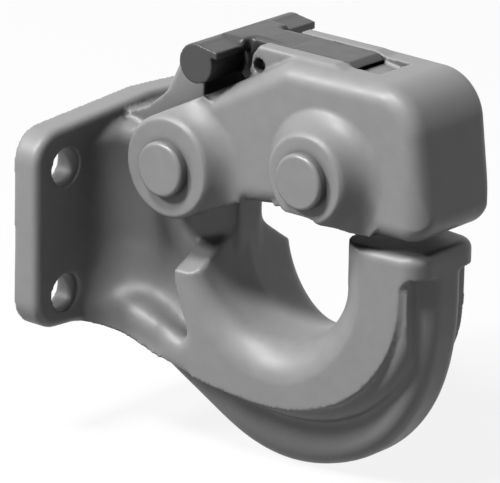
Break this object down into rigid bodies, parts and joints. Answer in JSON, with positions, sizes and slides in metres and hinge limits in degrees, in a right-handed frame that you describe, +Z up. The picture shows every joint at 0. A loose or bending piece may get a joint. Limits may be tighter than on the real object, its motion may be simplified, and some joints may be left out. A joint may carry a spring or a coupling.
{
  "type": "pintle hook",
  "caption": "Forged vehicle pintle hook: four-bolt plate, open horn and a hinged latch held shut by a sprung T-handled lock.",
  "frame": {"origin": "centre of the four-bolt pattern on the plate's flat back face", "axes": "+X out of the vehicle towards the nose of the latch, +Z up, Y across; symmetric about Y = 0"},
  "size_m": [0.1432, 0.115, 0.1454],
  "materials": {
    "hook_body": "smooth satin forging, mid grey",
    "latch": "smooth satin forging, mid grey",
    "latch_pin": "satin steel",
    "lock": "dark grey satin casting",
    "lock_pin": "satin steel",
    "lock_spring": "spring wire"
  },
  "bodies": {
    "hook": {"hook_body": "hook_body"},
    "latch": {"latch": "latch", "latch_pin": "latch_pin", "lock_pin": "lock_pin", "lock_spring": "lock_spring"},
    "lock": {"lock": "lock"}
  },
  "joints": [
    {"name": "latch_hinge", "type": "hinge", "parent": "hook", "child": "latch", "pos_m": [0.0429, 0, 0.0262], "axis": [0, -1, 0], "range_deg": [0, 50]},
    {"name": "lock_hinge", "type": "hinge", "parent": "latch", "child": "lock", "pos_m": [0.1022, 0, 0.035], "axis": [0, 1, 0], "range_deg": [0, 17.5], "stiffness_Nm_per_rad": 0.5, "springref_deg": -20.05, "deforming": ["lock_spring"]}
  ],
  "couplings": [
    {"joint": "lock_hinge", "follows": "latch_hinge", "ratio": 0.35}
  ]
}
